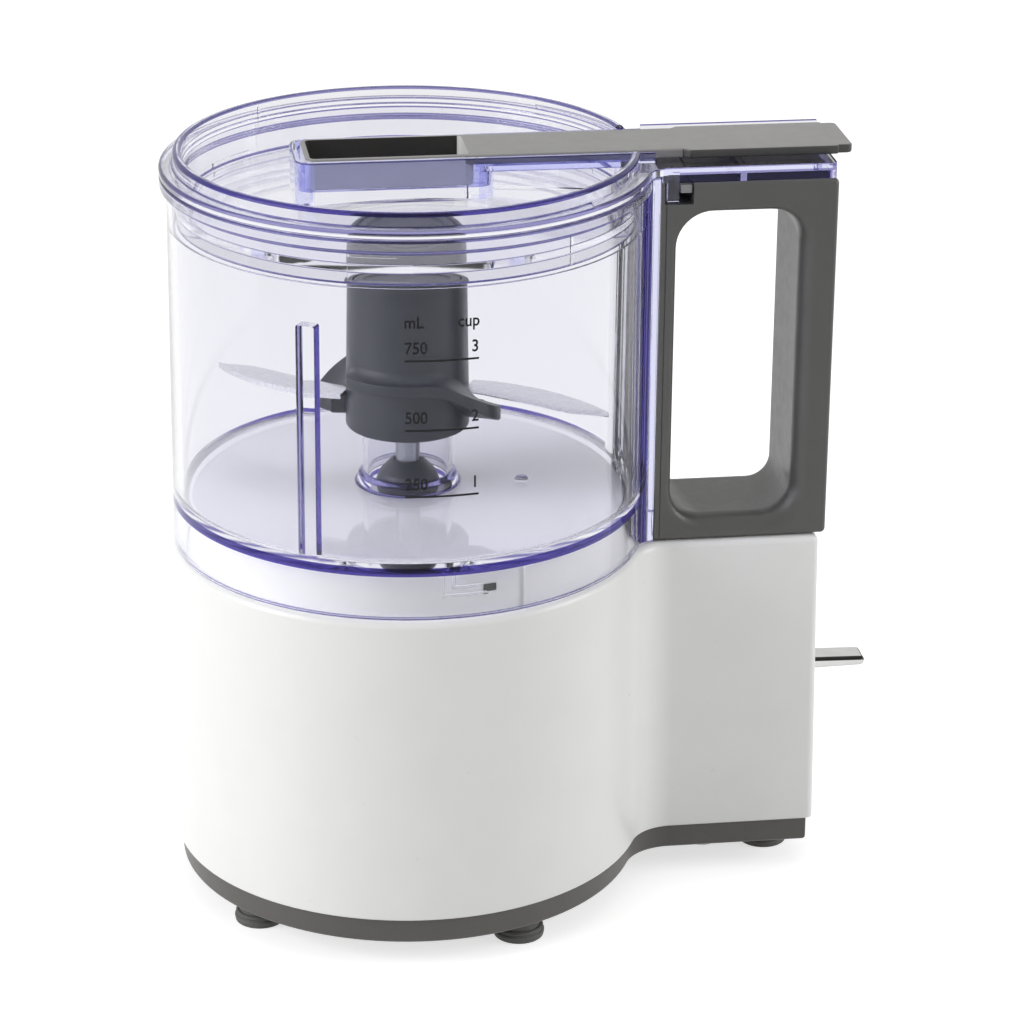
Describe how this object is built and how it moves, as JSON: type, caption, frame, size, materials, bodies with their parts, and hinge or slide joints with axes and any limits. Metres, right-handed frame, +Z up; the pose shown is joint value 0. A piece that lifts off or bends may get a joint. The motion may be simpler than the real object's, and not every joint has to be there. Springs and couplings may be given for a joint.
{
  "type": "food processor",
  "caption": "Compact food processor: white motor base with a tail, clear graduated bowl with an open handle, S-shaped blades on a tall hub, recessed clear lid with a chute bar, press lever.",
  "frame": {"origin": "middle of the bounding box of the plan, on the plane the feet stand on", "axes": "+Z up; +X from the bowl along the tail to the handle and the switch lever; -Y is the side with the graduation marks"},
  "size_m": [0.2064, 0.1384, 0.2224],
  "materials": {
    "white_plastic": "glossy white moulded plastic",
    "dark_plastic": "satin dark warm grey moulded plastic",
    "hub_plastic": "smooth dark blue-grey moulded plastic",
    "grey_plastic": "satin mid grey moulded plastic",
    "clear_plastic": "clear moulded plastic with a faint violet-blue tint",
    "rubber": "matt dark rubber",
    "chrome": "polished plated metal",
    "steel": "plain steel",
    "blade_steel": "polished stainless steel with a ground edge",
    "brass": "sintered brass",
    "copper": "copper windings and bars",
    "ceramic": "dark ceramic",
    "nylon": "natural nylon",
    "board": "green circuit board"
  },
  "bodies": {
    "base": {"base_housing": "white_plastic", "bottom_plate": "dark_plastic", "switch_frame": "dark_plastic", "motor_end_cap": "dark_plastic", "interlock_switch": "dark_plastic", "spindle_boot": "hub_plastic", "foot_front_left": "rubber", "foot_front_right": "rubber", "foot_rear_left": "rubber", "foot_rear_right": "rubber", "foot_tail": "rubber", "cord_gland": "rubber", "plate_screw_1": "steel", "plate_screw_2": "steel", "plate_screw_3": "steel", "plate_screw_4": "steel", "motor_plate": "steel", "motor_screw_1": "steel", "motor_screw_2": "steel", "motor_screw_3": "steel", "motor_screw_4": "steel", "motor_can": "steel", "motor_bearing_upper": "steel", "motor_bearing_lower": "steel", "lever_pin": "steel", "lever_spring": "steel", "plunger_spring": "steel", "spindle_bush_upper": "brass", "spindle_bush_lower": "brass", "magnet_left": "ceramic", "magnet_right": "ceramic", "brush_front": "ceramic", "brush_rear": "ceramic", "capacitor": "ceramic", "plunger_retainer": "nylon", "circuit_board": "board"},
    "spindle": {"spindle": "steel", "drive_gear": "nylon", "spindle_clip": "steel"},
    "rotor": {"motor_shaft": "steel", "armature": "copper", "commutator": "copper", "cooling_fan": "nylon", "pinion": "brass"},
    "lever": {"switch_lever": "chrome"},
    "plunger": {"interlock_plunger": "nylon"},
    "bowl": {"bowl": "clear_plastic", "handle": "dark_plastic"},
    "slider": {"interlock_slider": "grey_plastic"},
    "lid": {"lid": "clear_plastic", "lid_bar": "grey_plastic"},
    "blade": {"blade_hub": "hub_plastic", "hub_cap": "hub_plastic", "drive_insert": "steel", "blade_left": "blade_steel", "blade_right": "blade_steel"}
  },
  "joints": [
    {"name": "bowl_lift", "type": "slide", "parent": "base", "child": "bowl", "axis": [0, 0, 1], "range_m": [0, 0.1]},
    {"name": "lid_lift", "type": "slide", "parent": "bowl", "child": "lid", "axis": [0, 0, 1], "range_m": [0, 0.06]},
    {"name": "spindle_spin", "type": "hinge", "parent": "base", "child": "spindle", "pos_m": [-0.03395, 0, 0.1], "axis": [0, 0, 1], "continuous": true},
    {"name": "blade_spin", "type": "hinge", "parent": "bowl", "child": "blade", "pos_m": [-0.03395, 0, 0.15], "axis": [0, 0, 1], "continuous": true},
    {"name": "rotor_spin", "type": "hinge", "parent": "base", "child": "rotor", "pos_m": [-0.00395, 0, 0.06], "axis": [0, 0, 1], "continuous": true},
    {"name": "lever_press", "type": "hinge", "parent": "base", "child": "lever", "pos_m": [0.07945, 0, 0.0592], "axis": [0, 1, 0], "range_deg": [0, 12], "stiffness_Nm_per_rad": 0.08, "springref_deg": -17.19, "deforming": ["lever_spring"]},
    {"name": "interlock_slide", "type": "slide", "parent": "bowl", "child": "slider", "axis": [0, 0, 1], "range_m": [-0.0028, 0], "stiffness_N_per_m": 150, "springref_m": 0.002},
    {"name": "plunger_press", "type": "slide", "parent": "base", "child": "plunger", "axis": [0, 0, 1], "range_m": [-0.0028, 0], "stiffness_N_per_m": 150, "springref_m": 0.002, "deforming": ["plunger_spring"]}
  ],
  "couplings": [
    {"joint": "spindle_spin", "follows": "rotor_spin", "ratio": -0.33333},
    {"joint": "blade_spin", "follows": "rotor_spin", "ratio": -0.33333},
    {"joint": "plunger_press", "follows": "interlock_slide", "ratio": 1}
  ]
}
